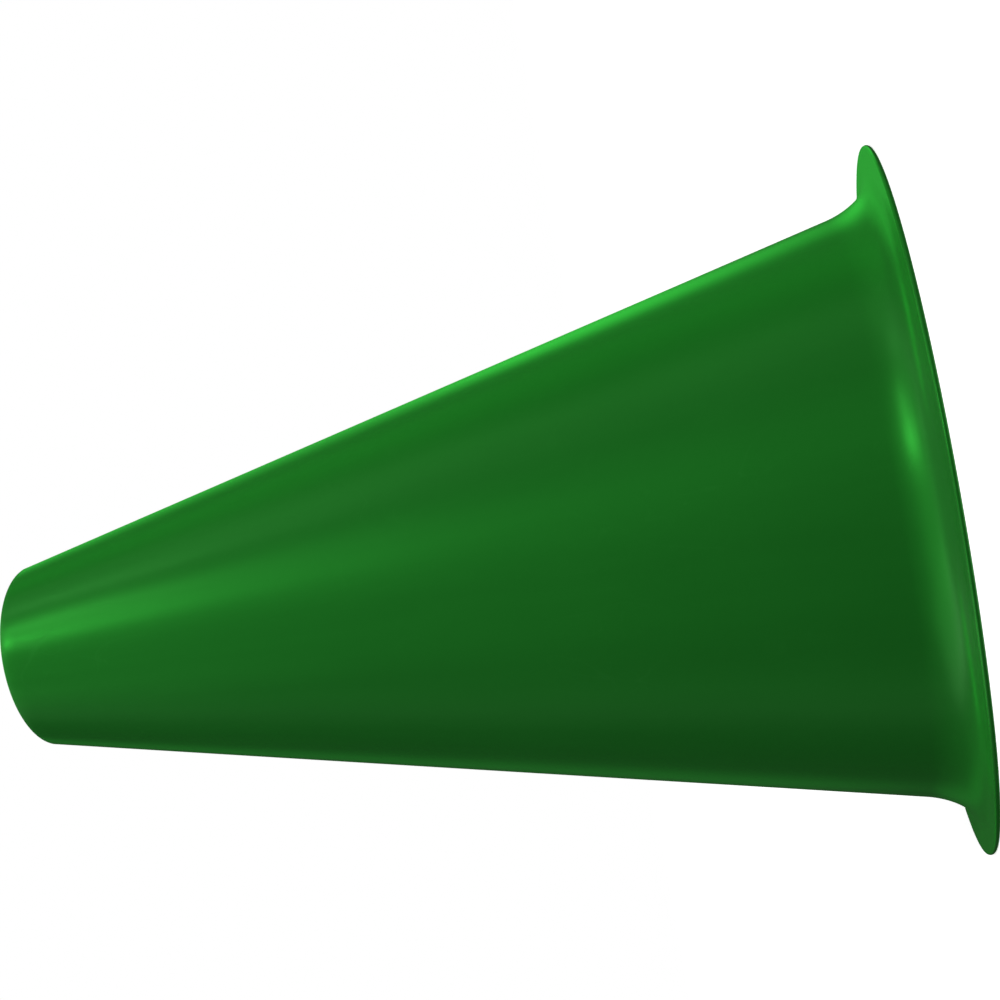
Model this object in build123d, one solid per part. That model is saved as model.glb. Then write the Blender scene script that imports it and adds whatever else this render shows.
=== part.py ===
from build123d import *
import math
import os

# Cheer megaphone: one moulded plastic horn, open at both ends.
# It stands on its bell. The horn's axis is +Z, the floor is z = 0, and the mouth is up.
# The two long sides of the mouth, which go beside the speaker's cheeks, are on +Y and -Y.
# All sizes are in millimetres.

# ---- driving dimensions ----
overall_length = 230.4           # floor to the tips of the mouth, before they are rounded
bell_diameter = 177.6            # over the flange's rim
flange_width = 13.5              # how far the rim stands out past the cone's line, at the floor
mouth_diameter = 40.4            # outside, at the tips
wall = 1.4                       # square to the wall
flange_edge = 1.4                # the flange's thickness at its rim
flange_draft = 1.2               # degrees that the back of the flange rises towards the cone
flare_radius = 11.7              # outside, where the cone turns out into the flange
mouth_slope = 21.1               # degrees that the mouth falls away from each tip
mouth_valley_radius = 11.5       # where the two slopes meet, above and below the lips
lip_rounding = 0.5               # on the mouth's cut edge, inside and outside
rim_flat = 0.03                  # what the rim's two roundings leave flat between them

# ---- sizes that follow from them ----
bell_radius = bell_diameter / 2
mouth_radius = mouth_diameter / 2
cone_run = (bell_radius - flange_width - mouth_radius) / overall_length
wall_across = wall * math.hypot(1, cone_run)
rim_rounding = (flange_edge - rim_flat) / 2
lip_fillet = min(lip_rounding, 0.4 * wall)
flare_inside = flare_radius + wall
cutter_reach = 2 * mouth_radius  # clear of the wall all round


def cone_radius(z, inset=0.0):
    """Radius of the cone's outside at height z, less the inset."""
    return mouth_radius + (overall_length - z) * cone_run - inset


def back_height(r):
    """Height of the flange's back at radius r."""
    return flange_edge + (bell_radius - r) * math.tan(math.radians(flange_draft))


def back_meets_cone():
    """Radius at which the flange's back would meet the straight cone."""
    draft_run = math.tan(math.radians(flange_draft))
    at_rim = cone_radius(back_height(bell_radius))
    return (at_rim - bell_radius * cone_run * draft_run) / (1 - cone_run * draft_run)


def horn_section():
    """Section of one wall, in the XZ plane. It runs on past the mouth, to be cut."""
    top = overall_length + wall
    corner_r = back_meets_cone()
    outline = Polyline(
        (cone_radius(top), 0, top),
        (corner_r, 0, back_height(corner_r)),
        (bell_radius, 0, back_height(bell_radius)),
        (bell_radius, 0, 0),
        (cone_radius(0, wall_across), 0, 0),
        (cone_radius(top, wall_across), 0, top),
        close=True,
    )
    section = make_face(outline)
    section = fillet_corner(section, corner_r, back_height(corner_r), flare_radius)
    section = fillet_corner(section, cone_radius(0, wall_across), 0, flare_inside)
    section = fillet_corner(section, bell_radius, back_height(bell_radius), rim_rounding)
    return fillet_corner(section, bell_radius, 0, rim_rounding)


def fillet_corner(section, r, z, radius):
    """Round the section's corner that is nearest to radius r and height z."""
    nearest = min(section.vertices(), key=lambda v: math.hypot(v.X - r, v.Z - z))
    return fillet(nearest, radius)


def mouth_cutter():
    """What is above the mouth: two slopes that meet in a round valley, seen along X."""
    slope = math.radians(mouth_slope)
    arc_y = mouth_valley_radius * math.sin(slope)
    arc_rise = mouth_valley_radius * (1 - math.cos(slope))
    tip_rise = arc_rise + (mouth_radius - arc_y) * math.tan(slope)
    valley_z = overall_length - tip_rise
    far_z = overall_length + (cutter_reach - mouth_radius) * math.tan(slope)
    roof_z = far_z + 2 * wall

    left_foot = (0, -arc_y, valley_z + arc_rise)
    right_foot = (0, arc_y, valley_z + arc_rise)
    left_end = (0, -cutter_reach, far_z)
    right_end = (0, cutter_reach, far_z)
    left_slope = Line(left_end, left_foot)
    valley = ThreePointArc(left_foot, (0, 0, valley_z), right_foot)
    right_slope = Line(right_foot, right_end)
    roof = Polyline(right_end, (0, cutter_reach, roof_z), (0, -cutter_reach, roof_z), left_end)
    side = make_face([left_slope, valley, right_slope, roof])
    return extrude(side, amount=cutter_reach, both=True, dir=(1, 0, 0))


def horn_body():
    """The whole horn: a revolved wall, cut to the mouth's contour, with a rounded lip."""
    shell = revolve(horn_section(), axis=Axis.Z) - mouth_cutter()
    lip_edges = [edge for edge in shell.edges() if is_lip(edge)]
    return fillet(lip_edges, lip_fillet)


def is_lip(edge):
    """The cut edges all lie near the mouth. No edge that runs down the wall does."""
    return edge.bounding_box().min.Z > overall_length - mouth_radius


os.makedirs("parts", exist_ok=True)
horn = horn_body()
horn.label = "horn_body"
export_step(horn, "parts/horn_body.step")
print("horn_body", horn.bounding_box())
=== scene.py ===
# %% [markdown]
# # A cheer megaphone, turned from one section
# The real object is a single plastic moulding: a straight cone with a flanged bell at one end
# and a mouth at the other. Nothing is fastened to it and nothing moves, so this lesson makes one
# piece, and makes it as well as it can: the wall, the flare, the contour of the mouth, the skin
# of the plastic, and the soft light that shows them.

# %% Load the measured model
import math

import bmesh
import bpy
from mathutils import Matrix, Vector


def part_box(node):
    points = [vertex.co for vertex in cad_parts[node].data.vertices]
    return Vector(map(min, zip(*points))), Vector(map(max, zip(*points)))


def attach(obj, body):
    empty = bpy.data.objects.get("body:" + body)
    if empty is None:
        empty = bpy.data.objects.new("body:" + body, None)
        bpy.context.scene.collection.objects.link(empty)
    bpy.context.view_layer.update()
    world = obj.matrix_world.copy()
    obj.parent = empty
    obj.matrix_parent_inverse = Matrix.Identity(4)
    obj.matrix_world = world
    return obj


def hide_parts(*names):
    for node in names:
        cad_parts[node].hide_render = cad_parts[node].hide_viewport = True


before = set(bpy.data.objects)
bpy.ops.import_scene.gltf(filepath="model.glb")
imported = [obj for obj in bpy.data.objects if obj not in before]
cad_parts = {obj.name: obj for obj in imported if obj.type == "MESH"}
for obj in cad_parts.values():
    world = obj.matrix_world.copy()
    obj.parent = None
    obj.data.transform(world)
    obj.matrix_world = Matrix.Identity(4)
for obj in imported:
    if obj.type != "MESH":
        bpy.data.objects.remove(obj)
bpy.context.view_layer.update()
low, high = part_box("horn_body")
tall = high.z - low.z
bell_radius = (high.x - low.x) / 2
mm = 0.001
print("horn", round(tall / mm, 1), "mm tall,", round(2 * bell_radius / mm, 1), "mm over the bell")

# %% [markdown]
# ## The camera
# A long lens from a little over a metre keeps the cone's two edges straight and its rim thin.
# The camera looks level along +Y at the side of the standing horn. It is rolled by just over a
# quarter turn, so the horn lies across the picture with its mouth on the left.

# %% Camera
camera_distance = 1241 * mm      # from the horn's axis
camera_side = 18.3 * mm
camera_height = 104.35 * mm
lean = math.radians(10.01)       # how far the horn's axis climbs to the right
sensor_width = 36                # this and the lens are in millimetres, as Blender has them
focal_length = 180.9

camera_data = bpy.data.cameras.new("camera")
camera_data.sensor_width = sensor_width
camera_data.lens = focal_length
camera = bpy.data.objects.new("camera", camera_data)
right = Vector((-math.sin(lean), 0, -math.cos(lean)))
up = Vector((math.cos(lean), 0, -math.sin(lean)))
back = right.cross(up)
turn = Matrix((right, up, back)).transposed().to_4x4()
camera.matrix_world = Matrix.Translation((camera_side, -camera_distance, camera_height)) @ turn
bpy.context.scene.collection.objects.link(camera)
bpy.context.scene.camera = camera
print("camera at", [round(v, 4) for v in camera.matrix_world.translation])

# %% [markdown]
# ## Sums that build nodes
# Both the horn's shape and its finish are rules, and Blender keeps rules as nodes. Wiring
# hundreds of Math nodes by hand is slow to write and slower to read. A small class can wrap a
# socket so that ordinary Python sums add the nodes: `radius * 2 + wall` becomes two Math nodes.
# One more method adds every other kind of node. The same two classes serve the shape and the
# finish.

# %% A wire and a bench of nodes
class Wire:
    """One output socket that can be used in sums."""

    def __init__(self, bench, socket):
        self.bench = bench
        self.socket = socket

    def maths(self, operation, first, second):
        settings = {"operation": operation}
        return self.bench.node("ShaderNodeMath", settings, {0: first, 1: second})

    def __add__(self, other):
        return self.maths("ADD", self, other)

    def __radd__(self, other):
        return self.maths("ADD", other, self)

    def __sub__(self, other):
        return self.maths("SUBTRACT", self, other)

    def __rsub__(self, other):
        return self.maths("SUBTRACT", other, self)

    def __mul__(self, other):
        return self.maths("MULTIPLY", self, other)

    def __rmul__(self, other):
        return self.maths("MULTIPLY", other, self)

    def __truediv__(self, other):
        return self.maths("DIVIDE", self, other)

    def __rtruediv__(self, other):
        return self.maths("DIVIDE", other, self)

    def __pow__(self, other):
        return self.maths("POWER", self, other)

    def least(self, other):
        return self.maths("MINIMUM", self, other)

    def most(self, other):
        return self.maths("MAXIMUM", self, other)

    def clamped(self):
        """Held between nothing and one."""
        return self.most(0.0).least(1.0)

    def root(self):
        return self.maths("SQRT", self, 0.0)

    def size(self):
        """Without its sign."""
        return self.maths("ABSOLUTE", self, 0.0)

    def whole(self):
        """Rounded down to a whole number."""
        return self.maths("FLOOR", self, 0.0)


class Bench:
    """Adds nodes to one tree."""

    def __init__(self, tree):
        self.tree = tree

    def place(self, kind, settings=None, inputs=None):
        """Adds a node: first its settings, then the values or wires of its sockets."""
        made = self.tree.nodes.new(kind)
        for name, value in (settings or {}).items():
            setattr(made, name, value)
        self.plug(made, inputs or {})
        return made

    def node(self, kind, settings=None, inputs=None, output=0):
        """Adds a node and gives back one of its outputs as a wire."""
        return Wire(self, self.place(kind, settings, inputs).outputs[output])

    def plug(self, made, inputs):
        for name, value in inputs.items():
            if isinstance(value, Wire):
                self.tree.links.new(value.socket, made.inputs[name])
            else:
                made.inputs[name].default_value = value

    def other(self, wire, output):
        """Another output of the node that a wire comes from."""
        return Wire(self, wire.socket.node.outputs[output])

    def apart(self, vector):
        """The three numbers of a vector."""
        first = self.node("ShaderNodeSeparateXYZ", {}, {0: vector})
        return first, self.other(first, 1), self.other(first, 2)

    def together(self, x, y, z):
        return self.node("ShaderNodeCombineXYZ", {}, {0: x, 1: y, 2: z})


print("bench ready")

# %% [markdown]
# ## The section of the wall
# A turned shape is one section swung round an axis. This one has eight corners: two at the lip,
# two at the rim, and two pairs where the cone turns out into the flange. Every corner is rounded
# by its own radius. The sizes below are those of the moulding. The bell's radius and the height
# come from the measured model, so the turned horn fits it exactly.

# %% Sizes of the moulding
mouth_radius = 20.2 * mm         # outside, at the tips
flange_width = 13.5 * mm         # how far the rim stands out past the cone's line
wall = 1.4 * mm                  # square to the wall
flange_edge = 1.4 * mm           # the flange's thickness at its rim
flange_draft = math.tan(math.radians(1.2))
lip_rounding = 0.5 * mm
rim_flat = 0.03 * mm             # left between the rim's two rounded corners
rim_rounding = (flange_edge - rim_flat) / 2
mouth_slope = math.tan(math.radians(21.1))
valley_radius = 11.5 * mm        # where the mouth's two slopes meet
tips_lost = 0.17 * mm            # what the lip's rounding takes off the sharp tips
sharp_height = tall + tips_lost
print("wall", round(wall / mm, 2), "mm, flange", round(flange_width / mm, 1), "mm wide")

# %% [markdown]
# ### The flare in two arcs
# Plastic that leaves a mould has no sudden bends, because the sheet would thin there. The flare
# leaves the cone on a wide arc and turns out into the flange on a tight one. Cutting the sharp
# corner off gives each arc a corner of its own, and plain trigonometry says how far from the
# sharp corner the cut meets the cone and the flange. These are numbers alone, so Python works
# them out and no nodes are needed.

# %% Where the cut meets the cone and the flange
wide_radius = 24 * mm
tight_radius = 9.5 * mm
wide_turn = math.radians(20)     # turned by the wide arc; the tight arc turns the rest
cone_angle = math.atan((bell_radius - flange_width - mouth_radius) / sharp_height)
whole_turn = math.radians(90) - cone_angle - math.atan(flange_draft)
tight_turn = whole_turn - wide_turn


def reaches(deeper):
    """Distances from the sharp corner to the cut, for a skin that lies deeper by so much."""
    wide_part = (wide_radius + deeper) * math.tan(wide_turn / 2)
    tight_part = (tight_radius + deeper) * math.tan(tight_turn / 2)
    scale = (wide_part + tight_part) / math.sin(whole_turn)
    return scale * math.sin(tight_turn), scale * math.sin(wide_turn)


cone_reach, flange_reach = reaches(0)
inner_cone_reach, inner_flange_reach = reaches(wall)
flare_start = cone_reach + wide_radius * math.tan(wide_turn / 2)
print("flare starts", round(flare_start / mm, 1), "mm up the cone from its sharp corner")

# %% [markdown]
# ### The rule and its inputs
# The Geometry Nodes tree has a named input for every size, so the same rule turns a larger or a
# thicker horn when its numbers are changed.

# %% The rule, as named inputs
sizes = {
    "Height": sharp_height,
    "Bell radius": bell_radius,
    "Flange width": flange_width,
    "Mouth radius": mouth_radius,
    "Wall": wall,
    "Flange edge": flange_edge,
    "Flange draft": flange_draft,
    "Wide radius": wide_radius,
    "Tight radius": tight_radius,
    "Cone reach": cone_reach,
    "Flange reach": flange_reach,
    "Inner cone reach": inner_cone_reach,
    "Inner flange reach": inner_flange_reach,
    "Lip rounding": lip_rounding,
    "Rim rounding": rim_rounding,
    "Mouth slope": mouth_slope,
    "Valley radius": valley_radius,
    "Ring step": 4 * mm,
}
counts = {"Around": 288, "Flare steps": 14, "Edge steps": 8}

tree = bpy.data.node_groups.new("turned horn", "GeometryNodeTree")
socket_ids = {}


def add_input(name, kind):
    made = tree.interface.new_socket(name, in_out="INPUT", socket_type=kind)
    socket_ids[name] = made.identifier


for name in sizes:
    add_input(name, "NodeSocketFloat")
for name in counts:
    add_input(name, "NodeSocketInt")
add_input("Finish", "NodeSocketMaterial")
tree.interface.new_socket("Horn", in_out="OUTPUT", socket_type="NodeSocketGeometry")

bench = Bench(tree)
inlet = tree.nodes.new("NodeGroupInput")
outlet = tree.nodes.new("NodeGroupOutput")
given = {name: Wire(bench, inlet.outputs[name]) for name in socket_ids}
print("inputs", len(given))

# %% [markdown]
# The corners follow from the sizes. The cone narrows by `run` for each metre of height, and the
# wall is thicker measured along the radius than square to the cone, by the length of the slope.
# The corners run from the outside of the lip down the outside, round the rim, and up the inside.
# Each has its own rounding, and its own number of steps in that rounding.

# %% Lines of the section
height = given["Height"]
run = (given["Bell radius"] - given["Flange width"] - given["Mouth radius"]) / height
cone_slant = (run * run + 1).root()
wall_across = given["Wall"] * cone_slant
draft = given["Flange draft"]
flange_slant = (draft * draft + 1).root()
edge = given["Flange edge"]
cone_at_edge = given["Mouth radius"] + (height - edge) * run
flare_radius = (cone_at_edge - given["Bell radius"] * run * draft) / (1 - run * draft)
flare_height = edge + (given["Bell radius"] - flare_radius) * draft
inner_base = given["Mouth radius"] + height * run - wall_across
path_radius = 10 * mm            # of the circle that the section is carried round
print("nodes for the lines", len(tree.nodes))


# %% The eight corners
def corner(radius, level):
    """A corner of the section. The circle carries it upside down, so heights are negative."""
    return bench.together(radius - path_radius, 0 - level, 0.0)


def up_the_cone(radius, level, reach):
    return corner(radius - reach * run / cone_slant, level + reach / cone_slant)


def pick(choices, kind):
    """One of several values, chosen by each point's place in the section."""
    chooser = tree.nodes.new("GeometryNodeIndexSwitch")
    chooser.data_type = kind
    while len(chooser.index_switch_items) < len(choices):
        chooser.index_switch_items.new()
    bench.plug(chooser, {0: bench.node("GeometryNodeInputIndex")})
    bench.plug(chooser, {spot + 1: value for spot, value in enumerate(choices)})
    return Wire(bench, chooser.outputs[0])


out_on_flange = given["Flange reach"] / flange_slant
corners = [
    corner(given["Mouth radius"], height),
    up_the_cone(flare_radius, flare_height, given["Cone reach"]),
    corner(flare_radius + out_on_flange, flare_height - out_on_flange * draft),
    corner(given["Bell radius"], edge),
    corner(given["Bell radius"], 0.0),
    corner(inner_base + given["Inner flange reach"], 0.0),
    up_the_cone(inner_base, 0.0, given["Inner cone reach"]),
    corner(given["Mouth radius"] - wall_across, height),
]
lip, rim = given["Lip rounding"], given["Rim rounding"]
wide, tight = given["Wide radius"], given["Tight radius"]
inner_wide, inner_tight = wide + given["Wall"], tight + given["Wall"]
fine, coarse = given["Edge steps"], given["Flare steps"]
rounding = pick([lip, wide, tight, rim, rim, inner_tight, inner_wide, lip], "FLOAT")
steps = pick([fine, coarse, coarse, fine, fine, coarse, coarse, fine], "INT")

line = bench.node("GeometryNodeMeshLine", {}, {"Count": len(corners)})
loop = bench.node("GeometryNodeMeshToCurve", {}, {0: line})
loop = bench.node("GeometryNodeSetSplineCyclic", {}, {0: loop, "Cyclic": True})
loop = bench.node("GeometryNodeSetPosition", {}, {0: loop, "Position": pick(corners, "VECTOR")})
section = bench.node("GeometryNodeFilletCurve", {"mode": "POLY"},
                     {0: loop, "Count": steps, "Radius": rounding, "Limit Radius": True})
print("corners", len(corners))

# %% [markdown]
# A long straight run with no points of its own makes long thin triangles. Each run is cut into
# equal lengths, as many as the ring step asks for. The short steps of the rounded corners are
# shorter than one ring step, so they get no cuts. Then the section is swept round a circle.

# %% Rings along the straight runs, and the turn
here = bench.node("GeometryNodeInputPosition")
next_point = bench.node("GeometryNodeOffsetPointInCurve", {}, {"Offset": 1}, "Point Index")
there = bench.node("GeometryNodeFieldAtIndex", {"data_type": "FLOAT_VECTOR"},
                   {"Index": next_point, "Value": here})
gap = bench.node("ShaderNodeVectorMath", {"operation": "DISTANCE"}, {0: here, 1: there}, "Value")
cuts = (gap / given["Ring step"]).whole()
section = bench.node("GeometryNodeSubdivideCurve", {}, {0: section, "Cuts": cuts})

path = bench.node("GeometryNodeCurvePrimitiveCircle", {"mode": "RADIUS"},
                  {"Resolution": given["Around"], "Radius": path_radius})
path = bench.node("GeometryNodeSetCurveNormal", {"mode": "Z_UP"}, {0: path})
turned = bench.node("GeometryNodeCurveToMesh", {}, {0: path, "Profile Curve": section})
print("turned")

# %% [markdown]
# ## The mouth's contour
# The mouth is trimmed to fit a face: lowest above and below the lips and highest beside the
# cheeks. Two slopes meet in a round valley. A cut would leave ragged rings, so each ring near
# the mouth is slid down along the cone instead: fully at the lip, and less and less further
# down. Sliding down the cone also moves a point outwards, so its sideways place is worked out
# again from the drop found so far.

# %% How far the contour climbs
def climb(sideways, slope, valley):
    """How far the contour has climbed above its valley, at a distance sideways from it."""
    arc_half = valley * slope / (slope * slope + 1) ** 0.5
    away = sideways.size()
    near = away.least(arc_half)
    round_part = valley - (valley * valley - near * near).root()
    return round_part + (away - arc_half).most(0.0) * slope


def top_climb(radius, slope, valley):
    """The same at the tips, in plain numbers."""
    arc_half = valley * slope / (slope * slope + 1) ** 0.5
    arc_rise = valley - (valley * valley - arc_half * arc_half) ** 0.5
    return arc_rise + (radius - arc_half) * slope


# %% Slide the rings to the contour
fade_length = 50 * mm            # the slide dies away over this much of the cone
lip_zone = 3 * mm                # this much at the lip slides whole
px, py, pz = bench.apart(bench.node("GeometryNodeInputPosition"))
slope, valley = given["Mouth slope"], given["Valley radius"]
reach = (px * px + py * py).root()
share_y = py / reach
top = climb(given["Mouth radius"], slope, valley)
drop = top - climb(py, slope, valley)
for again in range(2):
    drop = top - climb(share_y * (reach + drop * run), slope, valley)

fade = ((pz - (height - fade_length)) / (fade_length - lip_zone)).clamped()
fade = fade * fade * (3 - 2 * fade)
slide = drop * fade
grow = 1 + slide * run / reach
moved = bench.together(px * grow, py * grow, pz - slide)
shaped = bench.node("GeometryNodeSetPosition", {}, {0: turned, "Position": moved})
print("contour added, nodes so far", len(tree.nodes))

# %% [markdown]
# The two arcs of the flare meet in one point, and so do rings that round to the same place. They
# are merged, so no face is a sliver. The tree ends with its instances made real and one
# material set.

# %% Close the tree
same_place = 0.005 * mm
shaped = bench.node("GeometryNodeMergeByDistance", {}, {0: shaped, "Distance": same_place})
shaped = bench.node("GeometryNodeSetShadeSmooth", {}, {0: shaped})
whole = bench.node("GeometryNodeRealizeInstances", {}, {0: shaped})
whole = bench.node("GeometryNodeSetMaterial", {}, {0: whole, "Material": given["Finish"]})
tree.links.new(whole.socket, outlet.inputs[0])
print("nodes in the tree", len(tree.nodes))

# %% [markdown]
# ## Green plastic
# The real horn is polythene with its colour mixed in before moulding. The skin copies the steel
# of the mould: glossy, but softer than paint, so a lamp shows as a streak with a soft edge. Its
# reflections are green as well, because light goes a little way into the plastic before it comes
# back. Real plastic is never one flat colour. The pigment is a little cloudy, it leaves faint
# streaks along the cone where the melt flowed, and use leaves hairline scuffs, a dull ring where
# the bell is stood down, and a dull edge at the lip.
#
# Everything here is worked out from the place on the object, in metres, so the pattern is as
# large on the render as on the real thing and doesn't slide.

# %% Helpers for the finish
finish = bpy.data.materials.new("green plastic")
finish.use_nodes = True
finish.node_tree.nodes.clear()
skin = Bench(finish.node_tree)
spot = skin.node("ShaderNodeTexCoord", output="Object")
sx, sy, sz = skin.apart(spot)
from_axis = (sx * sx + sy * sy).root()


def cloud(size, detail=2.0, where=spot):
    """Soft noise from 0 to 1 about as large as `size`, in metres."""
    return skin.node("ShaderNodeTexNoise", {"noise_dimensions": "3D"},
                     {"Vector": where, "Scale": 1 / size, "Detail": detail, "Roughness": 0.5})


def patches(size, detail, start, steepness):
    """Patches of 1 on 0, where the noise is above `start`."""
    return ((cloud(size, detail) - start) * steepness).clamped()


def blend_colours(share, first, second):
    """From the first colour to the second. A share is a wire from 0 to 1."""
    return skin.node("ShaderNodeMix", {"data_type": "RGBA", "blend_type": "MIX"},
                     {0: share, 6: first, 7: second}, output=2)


print("helpers ready")

# %% [markdown]
# ### Where the plastic is worn
# Wear follows the shape. The standing ring is where the height is next to nothing. The lip is
# where the mouth's contour is near, and the same `climb` rule that shaped the contour finds it.

# %% Masks of wear
standing_depth = 0.9 * mm        # how far up from the floor the standing ring is worn
lip_depth = 1.6 * mm             # how far down from the contour the lip is worn
patchy = patches(9 * mm, detail=4.0, start=0.38, steepness=4)
stood_on = (1 - sz / standing_depth).clamped()
valley_level = tall - top_climb(mouth_radius, mouth_slope, valley_radius)
mouth_level = valley_level + climb(sy, mouth_slope, valley_radius)
at_lip = (1 - (mouth_level - sz) / lip_depth).clamped()
ring_wear = stood_on * (0.45 + 0.55 * patchy)
lip_wear = at_lip * (0.25 + 0.45 * patchy)
worn = ring_wear.most(lip_wear)
print("the mouth's valley is", round(valley_level / mm, 1), "mm up")

# %% [markdown]
# Hairline scuffs are the thin level lines of a stretched noise: wherever it passes one half, a
# line is drawn. A second, larger noise keeps them to a few patches, as handling does.

# %% Hairline scuffs
def hairlines(stretch, size, width):
    """Fine lines along the directions in which `stretch` is small."""
    sheet = skin.together(sx * stretch[0], sy * stretch[1], sz * stretch[2])
    return (1 - (cloud(size, 1.0, sheet) - 0.5).size() / width).clamped()


handled = patches(42 * mm, detail=1.0, start=0.52, steepness=6)
short_scuffs = hairlines(stretch=(1.0, 0.25, 0.6), size=7 * mm, width=0.006)
long_scuffs = hairlines(stretch=(0.5, 0.9, 0.14), size=9 * mm, width=0.005)
scuffs = short_scuffs.most(long_scuffs) * handled
print("nodes in the masks", len(finish.node_tree.nodes))

# %% [markdown]
# ### Colour, gloss and bump
# The pigment's clouds and the flow streaks only lighten or darken the green by a few hundredths.
# Worn plastic turns paler and duller. The bump is in millimetres: orange peel of a few
# thousandths, long shallow waves where the wall shrank as it cooled, and the scuffs.

# %% Base colour
deep_green = (0.0086, 0.1125, 0.0112, 1)
clear_green = (0.0104, 0.1275, 0.0132, 1)
scuffed_green = (0.030, 0.185, 0.036, 1)
flow_width = 0.09                # of a streak, as a share of the horn's radius at any height
flow_fade = 2.2                  # how fast a streak changes along the cone, for each metre
cloud_contrast = 1.8
worn_paleness = 0.55
scuff_paleness = 0.10
around = skin.together(sx / from_axis, sy / from_axis, sz * flow_fade)
flow = cloud(flow_width, 3.0, around)
cloudy = (0.6 * cloud(55 * mm, 3.0) + 0.4 * flow).clamped()
contrasted = ((cloudy - 0.5) * cloud_contrast + 0.5).clamped()
colour = blend_colours(contrasted, deep_green, clear_green)
paler = (worn * worn_paleness + scuffs * scuff_paleness).clamped()
colour = blend_colours(paler, colour, scuffed_green)
print("deep and clear green", deep_green[:3], clear_green[:3])

# %% Roughness and bump
gloss_roughness = 0.30
uneven_gloss = 0.03
worn_dullness = 0.22
scuff_dullness = 0.07
breath = cloud(30 * mm, 2.0) - 0.5
dulling = worn_dullness * worn + scuff_dullness * scuffs
roughness = gloss_roughness + uneven_gloss * breath + dulling

peel_height = 0.004              # these four are in millimetres
wave_height = 0.10
scuff_depth = 0.006
wear_depth = 0.03
orange_peel = cloud(1.6 * mm, 2.0) - 0.5
shrink_waves = cloud(38 * mm, 0.0) - 0.5
raised = peel_height * orange_peel + wave_height * shrink_waves
relief = raised - scuff_depth * scuffs - wear_depth * worn * patchy
bump = skin.node("ShaderNodeBump", {}, {"Strength": 1.0, "Distance": 1 * mm, "Height": relief})
print("roughness about", gloss_roughness)

# %% The shader
shader = skin.node("ShaderNodeBsdfPrincipled", {}, {
    "Base Color": colour,
    "Roughness": roughness,
    "Normal": bump,
    "IOR": 1.5,
    "Specular IOR Level": 0.5,
    "Specular Tint": (0.06, 1.0, 0.08, 1),
})
skin.place("ShaderNodeOutputMaterial", {}, {"Surface": shader})
print("nodes in the finish", len(finish.node_tree.nodes))

# %% [markdown]
# ## From the rule to a plain mesh
# A modifier runs the rule on an empty mesh. The result is copied to a plain mesh, and the
# modifier goes with its holder, so what is left is a horn like any other. Its volume tells
# whether the wall is closed and its faces point outwards.

# %% Make the plain mesh
holder = bpy.data.objects.new("rule", bpy.data.meshes.new("rule"))
bpy.context.scene.collection.objects.link(holder)
rule = holder.modifiers.new("turned horn", "NODES")
rule.node_group = tree
for name, value in {**sizes, **counts, "Finish": finish}.items():
    rule[socket_ids[name]] = value
bpy.context.view_layer.update()
seen = holder.evaluated_get(bpy.context.evaluated_depsgraph_get())
mesh = bpy.data.meshes.new_from_object(seen)
mesh.name = "horn"
bpy.data.objects.remove(holder)
horn = bpy.data.objects.new("horn", mesh)
bpy.context.scene.collection.objects.link(horn)
print("plain mesh with", len(mesh.vertices), "points")

# %% Measure it
measured = bmesh.new()
measured.from_mesh(mesh)
open_edges = sum(not e.is_manifold for e in measured.edges)
cubic_centimetres = measured.calc_volume(signed=True) / (10 * mm) ** 3
measured.free()
print("horn", len(mesh.polygons), "faces,", open_edges, "open edges")
print("plastic", round(cubic_centimetres, 2), "cm3")

# %% [markdown]
# The measured model has one node, `horn_body`, on one body, `root`. The turned horn stands in for
# that node, rides on that body, and has the slot of the green plastic.

# %% Ride on the frame
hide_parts("horn_body")
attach(horn, "root")
print("horn stands in for horn_body")

# %% [markdown]
# ## The floor and the air
# The horn stands on its bell on a plain pale floor. The camera sees white air, but the air
# lights the horn only faintly: on a glossy green skin a white sky would wash out every edge. The
# floor glows, less near the horn, where the lamps light it too, and fully further off, so that it
# stays pale and meets the air without a line. It neither shows in the horn nor lights it, and it
# doesn't stop the light of the lamp that is set below it.

# %% Floor
floor_half = 4.0
signs = [(-1, -1), (1, -1), (1, 1), (-1, 1)]
floor_corners = [(a * floor_half, b * floor_half, 0) for a, b in signs]
plane = bpy.data.meshes.new("floor")
plane.from_pydata(floor_corners, [], [(0, 1, 2, 3)])
floor = bpy.data.objects.new("floor", plane)
bpy.context.scene.collection.objects.link(floor)
floor.visible_diffuse = False
floor.visible_glossy = False
floor.visible_shadow = False
print("floor", 2 * floor_half, "m across")

# %% The pale floor's finish
near_glow = (0.58, 0.58, 0.58, 1)
far_glow = (1, 1, 1, 1)
glow_rises_from = 0.25           # metres from the horn's axis
glow_rises_over = 0.9
pale = bpy.data.materials.new("pale floor")
pale.use_nodes = True
pale.cycles.emission_sampling = "NONE"
pale.node_tree.nodes.clear()
ground = Bench(pale.node_tree)
where = ground.node("ShaderNodeTexCoord", output="Object")
speckle = ground.node("ShaderNodeTexNoise", {}, {"Vector": where, "Scale": 14.0, "Detail": 2.0})
away = ground.node("ShaderNodeVectorMath", {"operation": "LENGTH"}, {0: where}, "Value")
far_off = ((away - glow_rises_from) / glow_rises_over).clamped()
glow = ground.node("ShaderNodeMix", {"data_type": "RGBA"},
                   {0: far_off, 6: near_glow, 7: far_glow}, output=2)
matt = ground.node("ShaderNodeBsdfPrincipled", {}, {
    "Base Color": (0.86, 0.86, 0.86, 1),
    "Roughness": 0.55 + 0.1 * speckle,
    "Specular IOR Level": 0.2,
    "Emission Color": glow,
    "Emission Strength": 1.0,
})
ground.place("ShaderNodeOutputMaterial", {}, {"Surface": matt})
plane.materials.append(pale)
print("glow rises to full", glow_rises_from + glow_rises_over, "m from the horn's axis")

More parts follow.
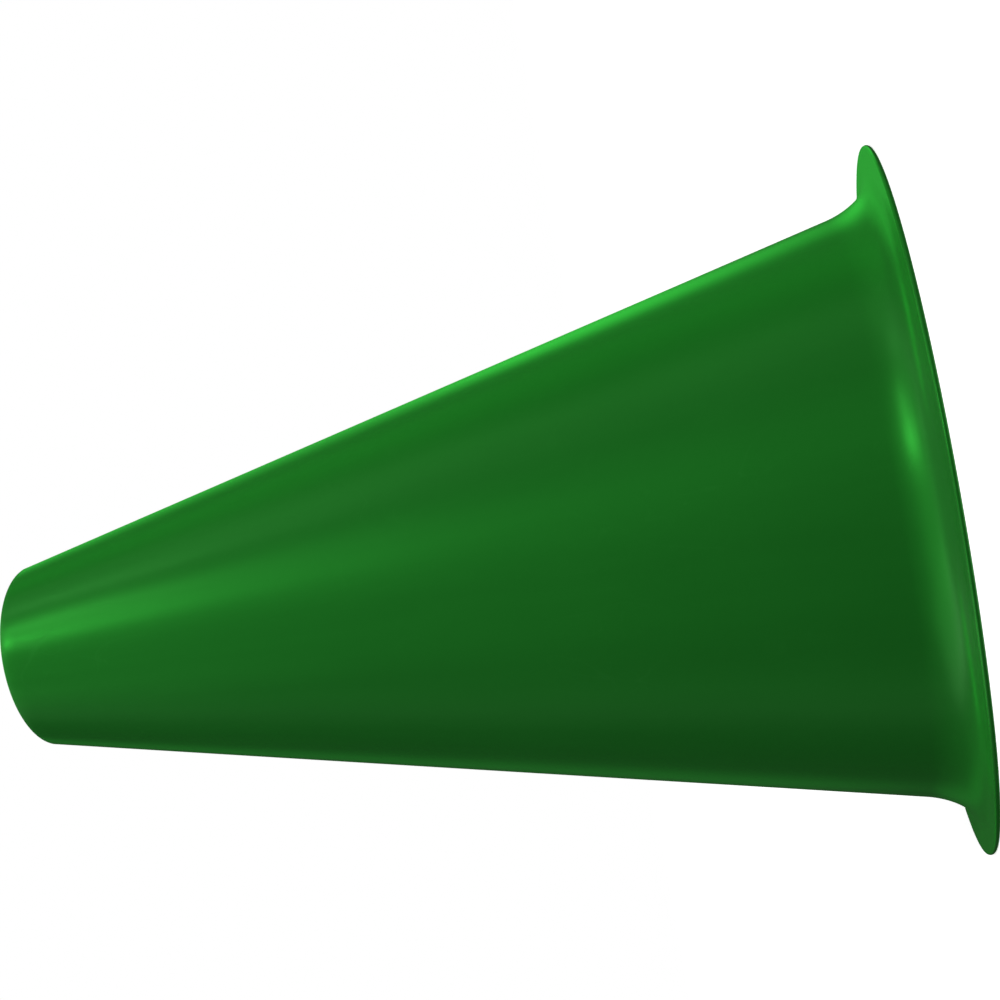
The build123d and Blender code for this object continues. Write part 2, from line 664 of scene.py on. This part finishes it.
# %% Air
air_light = 0.030
world = bpy.data.worlds.new("world")
bpy.context.scene.world = world
world.use_nodes = True
world.node_tree.nodes.clear()
air = Bench(world.node_tree)
looked_at = air.node("ShaderNodeLightPath", output="Is Camera Ray")
brightness = air_light + (1 - air_light) * looked_at
sky = air.node("ShaderNodeBackground", {}, {"Color": (1, 1, 1, 1), "Strength": brightness})
air.place("ShaderNodeOutputWorld", {}, {"Surface": sky})
bpy.context.scene.view_settings.view_transform = "Standard"
print("air gives", air_light)

# %% [markdown]
# ## Soft studio light
# A glossy cone is a mirror that squeezes the room sideways, so every lamp becomes a streak along
# it, and the flare squeezes the same lamp into a spot. So the light is made of panels, as in a
# studio, and one function sets a panel. At a grazing angle any plastic reflects white light
# white. Coloured film over a lamp, a gel, keeps the light at the horn's edges green. A tinted
# panel lights the horn and not the floor, which would turn green as well.

# %% One soft panel
only_horn = bpy.data.collections.new("lit by tinted panels")
only_horn.objects.link(horn)
white = (1, 1, 1)
green_gel = (0.06, 1, 0.09)
pale_green = (0.7, 1, 0.7)
middle = (0, 0, 115 * mm)        # of the horn's axis


def soft_panel(name, direction, distance, size, watts, tint=white, target=middle):
    """A rectangle of light that faces its target, in metres and watts."""
    lamp = bpy.data.lights.new(name, "AREA")
    lamp.shape = "RECTANGLE"
    lamp.size, lamp.size_y = size
    lamp.energy = watts
    lamp.color = tint
    outward = Vector(direction).normalized()
    panel = bpy.data.objects.new(name, lamp)
    panel.location = Vector(target) + outward * distance
    panel.rotation_euler = (-outward).to_track_quat("-Z", "Y").to_euler()
    panel.visible_camera = False
    if tint != white:
        panel.light_linking.receiver_collection = only_horn
    bpy.context.scene.collection.objects.link(panel)


print("tints", green_gel, "and", pale_green)

# %% [markdown]
# ### The even green
# Large panels overhead, in front and at both sides light the cone. The one overhead at the back
# is gelled, because the cone reflects it at a grazing angle.

# %% Large panels
soft_panel("overhead", (0.0, -0.15, 0.98), distance=1.5, size=(2.4, 2.0), watts=5.2)
soft_panel("overhead_front", (0.0, -0.5, 0.87), distance=1.3, size=(1.2, 0.9), watts=4.4)
soft_panel("overhead_left", (-0.55, -0.2, 0.8), distance=1.3, size=(1.0, 0.9), watts=5.2)
soft_panel("overhead_right", (0.55, -0.2, 0.8), distance=1.3, size=(0.8, 0.8), watts=1.2)
soft_panel("overhead_back", (0.0, 0.55, 0.83), distance=1.3, size=(1.0, 0.6), watts=9.0, tint=green_gel)
soft_panel("front_high", (0.25, -0.75, 0.6), distance=1.4, size=(0.9, 0.9), watts=1.29)
soft_panel("front_high_left", (-0.35, -0.7, 0.6), distance=1.4, size=(0.9, 0.9), watts=0.97)
soft_panel("front_right", (0.65, -0.75, 0.1), distance=1.5, size=(0.8, 1.0), watts=1.26)
soft_panel("side", (0.95, -0.25, 0.15), distance=1.2, size=(0.6, 0.8), watts=0.8)
soft_panel("side_high", (0.8, -0.1, 0.6), distance=1.2, size=(0.6, 0.6), watts=0.41)
soft_panel("left", (-0.95, -0.2, 0.15), distance=1.2, size=(0.6, 0.8), watts=0.5)
print("large panels set")

# %% [markdown]
# ### The streak and the spot
# Three small lamps near the mouth draw the streak that starts at the lip and fades along the
# cone, and one above the front draws the spot on the flare.

# %% Small lamps
lip_front = (10 * mm, -20 * mm, 215 * mm)
flare_front = (16 * mm, -75 * mm, 8 * mm)
soft_panel("streak", (0.48, -0.47, 0.43), 0.80, (0.05, 0.05), 0.573, target=lip_front)
soft_panel("streak_wide", (0.588, -0.16, 0.305), 0.68, (0.03, 0.03), 0.105, target=lip_front)
soft_panel("streak_near", (0.683, -0.538, 0.492), 0.14, (0.02, 0.02), 0.008, target=lip_front)
soft_panel("flare_spot", (0.339, -0.552, 0.761), 1.0, (0.12, 0.12), 2.16, target=flare_front)
print("small lamps set")

# %% [markdown]
# ### Below and behind
# A pale floor throws light back at the rim. The floor here doesn't, so a pale green panel below
# it stands in for that light. Gelled panels at the side and behind draw the bright edge.

# %% The panel below, and the gelled panels
edge_strip = (0.35, 0.6)
low_strip = (0.35, 0.22)
soft_panel("from_below", (0.0, -0.1, -1.0), 1.2, (1.2, 1.2), 12.0, pale_green)
soft_panel("side_gel", (0.98, 0.2, 0.2), 1.2, (1.0, 1.0), 1.32, green_gel)
soft_panel("side_back_gel", (0.85, 0.5, 0.2), 1.2, (0.6, 0.8), 0.57, green_gel)
soft_panel("edge_gel", (0.45, 0.85, 0.25), 1.1, edge_strip, 0.61, green_gel)
soft_panel("edge_gel_behind", (0.2, 0.95, 0.2), 1.1, edge_strip, 0.47, green_gel)
soft_panel("edge_gel_low", (0.5, 0.85, 0.0), 1.1, low_strip, 0.30, green_gel)
soft_panel("edge_gel_left", (-0.5, 0.8, 0.2), 1.1, edge_strip, 0.18, green_gel)
panels = [thing for thing in bpy.context.scene.objects if thing.type == "LIGHT"]
print("panels", len(panels), "watts", round(sum(panel.data.energy for panel in panels), 1))
